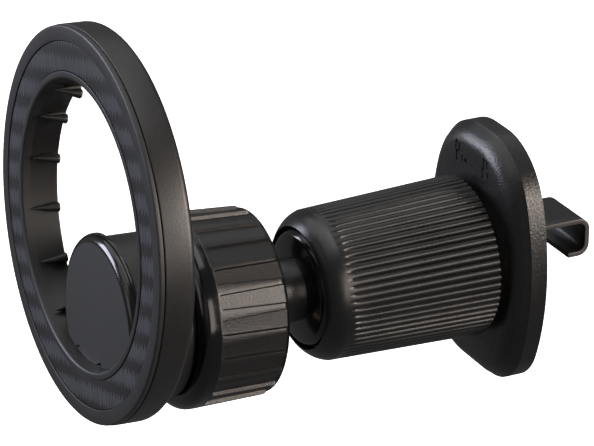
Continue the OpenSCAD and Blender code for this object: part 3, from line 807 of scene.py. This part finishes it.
def vent_pad():
    """Rubber pad with a rounded rim, set in the plate's back."""
    bm = plate_face(-1.0)
    bm.faces.ensure_lookup_table()
    face, margin = bm.faces[0], 3.05
    ring = bmesh.ops.inset_region(
        bm, faces=[face], thickness=margin, use_even_offset=True, use_boundary=True)
    bmesh.ops.delete(bm, geom=ring["faces"], context="FACES")
    face = raise_face(bm, face, 0.75)
    for inwards, y in ((0.08, 0.15), (0.2, 0.1)):
        face = step_in(bm, face, inwards, y)
    return bm


def hook_strip():
    """Strip bent twice over its outer radius, with a narrow shank and rubbed edges."""
    top, low, reach = HOOK_HIGH.z, HOOK_LOW.z, HOOK_HIGH.y
    bend, thick, half, tip = 2.0, 0.8, HOOK_HIGH.x, 1.8
    shank_half, shank_end = 3.5, 2.5
    path = [
        (-half, HOOK_LOW.y, top), (-half, shank_end, top), (-half, reach, top, bend),
        (-half, reach, low, bend), (-half, reach - bend - tip, low)]
    bm, corners = outline(path, closed=False)
    round_corners(bm, corners, path, 10)
    wire = bm.edges[:]
    for width in (half - shank_half, 2 * shank_half, half - shank_half):
        made = bmesh.ops.extrude_edge_only(bm, edges=wire)
        wire = [g for g in made["geom"] if isinstance(g, bmesh.types.BMEdge)]
        bmesh.ops.translate(
            bm, vec=(width, 0, 0),
            verts=[g for g in made["geom"] if isinstance(g, bmesh.types.BMVert)])
    beside = [
        f for f in bm.faces
        if f.calc_center_median().y < shank_end and abs(f.calc_center_median().x) > shank_half]
    bmesh.ops.delete(bm, geom=beside, context="FACES")
    bmesh.ops.recalc_face_normals(bm, faces=bm.faces)
    bm.faces.ensure_lookup_table()
    upper = next(f for f in bm.faces if f.calc_center_median().z > top - 0.01)
    if upper.normal.z < 0:
        bmesh.ops.reverse_faces(bm, faces=bm.faces)
    bmesh.ops.solidify(bm, geom=bm.faces[:], thickness=thick)
    bmesh.ops.recalc_face_normals(bm, faces=bm.faces)
    edges = [e for e in bm.edges if e.is_manifold and e.calc_face_angle(0) > math.radians(50)]
    bmesh.ops.bevel(
        bm, geom=edges, offset=0.12, offset_type="OFFSET", segments=2, profile=0.5,
        affect="EDGES", material=-1)
    return bm


# ---------------------------------------------------------------- building

piece("ring_shell", ring_shell(), "head", SATIN_ABS, ["head_housing"], RING)
piece("fin_roots", ring_fins(0.75, 0.0, 0.35), "head", SATIN_ABS, place=RING)
piece("fin_lobes", ring_fins(0.85, 1.15, 0.45), "head", SATIN_ABS, place=RING)
piece("socket_barrel", socket_barrel(), "head", SATIN_ABS, place=HEAD)
piece("ring_bezel", bezel(), "head", RIM_ABS, ["front_bezel"], RING)
piece("weave_pad", grip_pad(), "head", CARBON_PAD, ["grip_pad"], RING)
cap = piece("barrel_cap", socket_cap(), "head", CAP_ABS, ["socket_cap"], HEAD)
cut(
    cap, [round_bar(HOLE_R - 0.1, CAP_Y - 2, CAP_BACK_Y + 4, 256, BACK_HOLE_R - 0.1)],
    "INTERSECT", RING)
piece("ribbed_nut", clamp_nut(), "nut", NUT_ABS, ["clamp_nut"], HEAD)
piece("neck_and_ball", ball_stud(), "clip", STUD_NYLON, ["ball_stud"])
piece("neck_disc", stud_flange(), "clip", GLOSS_ABS, ["stud_flange"])
piece("ribbed_knob", knob_shell(), "knob", KNOB_ABS, ["knob_shell"])
plate = piece("backing_plate", vent_plate(), "clip", GRAINED_ABS, ["vent_plate"])
cut(plate, lock_marks(), "DIFFERENCE")
cut(plate, [
    round_bar(8.0, PLATE_FRONT_Y - 1, PLATE_FRONT_Y + 1, 96),
    block((-5.3, PLATE_FRONT_Y - 1, 3.4), (5.3, 1.0, 4.8))], "DIFFERENCE")
pad = piece("rubber_pad", vent_pad(), "clip", PAD_RUBBER, ["vent_pad"])
cut(pad, [block((-6, -3, 2.7), (6, 1, 5.5))], "DIFFERENCE")
piece("bent_hook", hook_strip(), "hook", COATED_STEEL, ["hook_strip"])

INNER_FINISHES = {
    "ring_magnets": NICKEL_PLATED,
    "yoke_ring": ZINC_PLATED_STEEL,
    "front_seat": ACETAL,
    "rear_seat": ACETAL,
    "clamp_washer": ACETAL,
    "stud_screw": ZINC_PLATED_STEEL,
    "stud_washer": ZINC_PLATED_STEEL,
    "core_tube": INNER_ABS,
    "front_bush": ACETAL,
    "rear_bush": ACETAL,
    "thrust_washer": ZINC_PLATED_STEEL,
    "thread_sleeve": TURNED_BRASS,
    "hook_carriage": DIE_CAST_ZINC,
    "hook_rivets": ZINC_PLATED_STEEL,
    "plate_screws": ZINC_PLATED_STEEL,
}
for name, material in INNER_FINISHES.items():
    for place in frame["nodes"][name].material_slots:
        place.material = material


# ---------------------------------------------------------------- stage, light and camera

def stage_floor():
    """Plain pale floor under the object."""
    made, tree, shader = new_material("Pale lit board", Roughness=0.9, Emission_Strength=1.0)
    at = mm_coordinates(tree)
    tree.links.new(
        blend_colours(tree, noise(tree, at, 40.0), srgb("#f4f4f4"), srgb("#fafafa")),
        shader.inputs["Base Color"])
    bm = bmesh.new()
    bmesh.ops.create_grid(bm, x_segments=1, y_segments=1, size=3000.0)
    bmesh.ops.translate(bm, vec=(0, 0, cad_box[0].z / MM - 60.0), verts=bm.verts)
    bm.transform(Matrix.Scale(MM, 4))
    mesh = bpy.data.meshes.new("floor")
    bm.to_mesh(mesh)
    bm.free()
    floor = bpy.data.objects.new("floor", mesh)
    bpy.context.scene.collection.objects.link(floor)
    floor.data.materials.append(made)
    # the board glows evenly, and the object's light comes from the lamps alone
    floor.visible_diffuse = floor.visible_glossy = floor.visible_shadow = False


def softbox(name, where, at, size, watts, colour="#ffffff"):
    """A large soft light that looks at a point."""
    lamp = bpy.data.lights.new(name, "AREA")
    lamp.shape, lamp.size, lamp.size_y, lamp.energy = "RECTANGLE", size[0], size[1], watts
    lamp.color = srgb(colour)[:3]
    made = bpy.data.objects.new(name, lamp)
    made.location = where
    made.rotation_mode = "QUATERNION"
    made.rotation_quaternion = (Vector(where) - Vector(at)).to_track_quat("Z", "Y")
    bpy.context.scene.collection.objects.link(made)


def studio():
    """Soft lamps round the object, in a dim room with a white backdrop."""
    world = bpy.data.worlds.new("room")
    world.use_nodes = True
    tree = world.node_tree
    background = next(n for n in tree.nodes if n.type == "BACKGROUND")
    background.inputs["Color"].default_value = srgb("#ffffff")
    ray = add_node(tree, "ShaderNodeLightPath")
    tree.links.new(
        spread(tree, ray.outputs["Is Camera Ray"], 0.13, 1.0), background.inputs["Strength"])
    bpy.context.scene.world = world
    bpy.context.scene.view_settings.view_transform = "Standard"
    middle = (0, -0.035, 0.01)
    softbox("low_front_left", (-0.549, -0.584, 0.204), middle, (0.35, 0.35), 4.6, "#edf0ff")
    softbox("low_right_behind", (0.549, 0.514, 0.204), middle, (0.35, 0.35), 6.6, "#fff0e4")
    softbox("low_right", (0.776, -0.035, 0.204), middle, (0.5, 0.5), 2.4, "#fff4ea")
    softbox("low_front", (0.0, -0.811, 0.204), middle, (0.35, 0.35), 0.35)
    softbox("overhead", (0.0, -0.036, 0.81), middle, (0.6, 0.6), 2.0)
    softbox("high_front", (0.0, -0.549, 0.623), middle, (0.5, 0.5), 0.7)
    softbox("high_left_front", (-0.445, -0.292, 0.623), middle, (0.5, 0.5), 0.9)
    softbox("high_left_behind", (-0.445, 0.222, 0.623), middle, (0.5, 0.5), 0.5)


def camera():
    """Long lens, a little above the knob's axis and to the right of the ring."""
    right = Vector((0.4434, 0.8961, 0.005)).normalized()
    back = Vector((0.8187, -0.4071, 0.405))
    back = (back - right * back.dot(right)).normalized()
    lens = bpy.data.cameras.new("camera")
    lens.lens, lens.sensor_width, lens.sensor_fit = 198.2, 36.0, "HORIZONTAL"
    lens.clip_start, lens.clip_end = 0.01, 20.0
    made = bpy.data.objects.new("camera", lens)
    made.rotation_mode = "QUATERNION"
    made.rotation_quaternion = Matrix((right, back.cross(right), back)).transposed().to_quaternion()
    made.location = (0.4091, -0.2398, 0.2134)
    bpy.context.scene.collection.objects.link(made)
    bpy.context.scene.camera = made


stage_floor()
studio()
camera()
